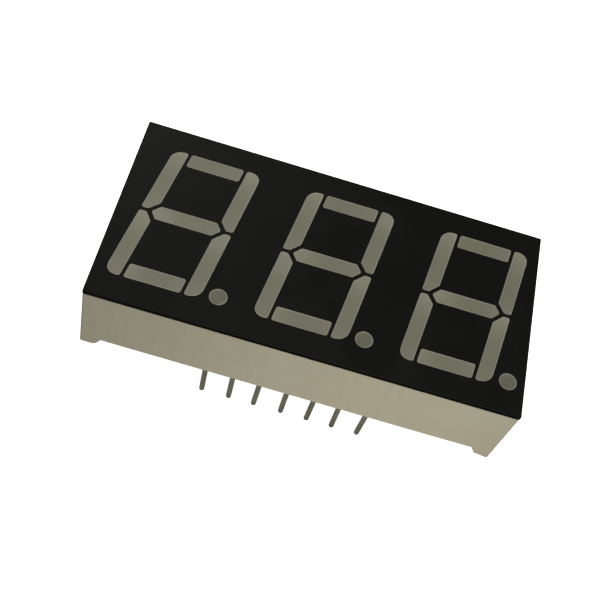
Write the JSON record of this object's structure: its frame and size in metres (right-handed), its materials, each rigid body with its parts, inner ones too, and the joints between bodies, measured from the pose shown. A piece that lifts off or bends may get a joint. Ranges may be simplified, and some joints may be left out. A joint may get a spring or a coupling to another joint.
{
  "type": "seven segment display",
  "caption": "Seven-segment numeric display with slanted digits and decimal points in a black face, an open-backed moulded housing and rows of solder legs.",
  "frame": {"origin": "middle of the leg pattern, on the plane that the housing's feet seat on", "axes": "+X along the row of digits, +Y towards the tops of the digits, +Z out of the face"},
  "size_m": [0.0378, 0.0192, 0.015],
  "materials": {
    "housing_plastic": "moulded, matt, warm off-white",
    "black_coat": "printed matt black coat",
    "segment_resin": "milky cast resin, satin",
    "board_laminate": "lacquered laminate",
    "copper": "bare copper foil",
    "red_chip": "semiconductor",
    "green_chip": "semiconductor",
    "bond_wire": "gold wire",
    "tinned_leg": "tinned, dull",
    "solder": "tin solder, satin",
    "back_resin": "hazy cast resin"
  },
  "bodies": {
    "root": {"housing": "housing_plastic", "face_coat": "black_coat", "digit_1_segment_a": "segment_resin", "digit_1_segment_b": "segment_resin", "digit_1_segment_c": "segment_resin", "digit_1_segment_d": "segment_resin", "digit_1_segment_e": "segment_resin", "digit_1_segment_f": "segment_resin", "digit_1_segment_g": "segment_resin", "digit_1_point": "segment_resin", "digit_2_segment_a": "segment_resin", "digit_2_segment_b": "segment_resin", "digit_2_segment_c": "segment_resin", "digit_2_segment_d": "segment_resin", "digit_2_segment_e": "segment_resin", "digit_2_segment_f": "segment_resin", "digit_2_segment_g": "segment_resin", "digit_2_point": "segment_resin", "digit_3_segment_a": "segment_resin", "digit_3_segment_b": "segment_resin", "digit_3_segment_c": "segment_resin", "digit_3_segment_d": "segment_resin", "digit_3_segment_e": "segment_resin", "digit_3_segment_f": "segment_resin", "digit_3_segment_g": "segment_resin", "digit_3_point": "segment_resin", "circuit_board": "board_laminate", "front_copper": "copper", "back_copper": "copper", "red_chips_digit_1": "red_chip", "green_chips_digit_1": "green_chip", "bond_wires_digit_1": "bond_wire", "red_chips_digit_2": "red_chip", "green_chips_digit_2": "green_chip", "bond_wires_digit_2": "bond_wire", "red_chips_digit_3": "red_chip", "green_chips_digit_3": "green_chip", "bond_wires_digit_3": "bond_wire", "leg_1": "tinned_leg", "leg_2": "tinned_leg", "leg_3": "tinned_leg", "leg_4": "tinned_leg", "leg_5": "tinned_leg", "leg_6": "tinned_leg", "leg_7": "tinned_leg", "leg_8": "tinned_leg", "leg_9": "tinned_leg", "leg_10": "tinned_leg", "leg_11": "tinned_leg", "leg_12": "tinned_leg", "leg_13": "tinned_leg", "leg_14": "tinned_leg", "solder_joints": "solder", "back_resin": "back_resin"}
  },
  "joints": []
}
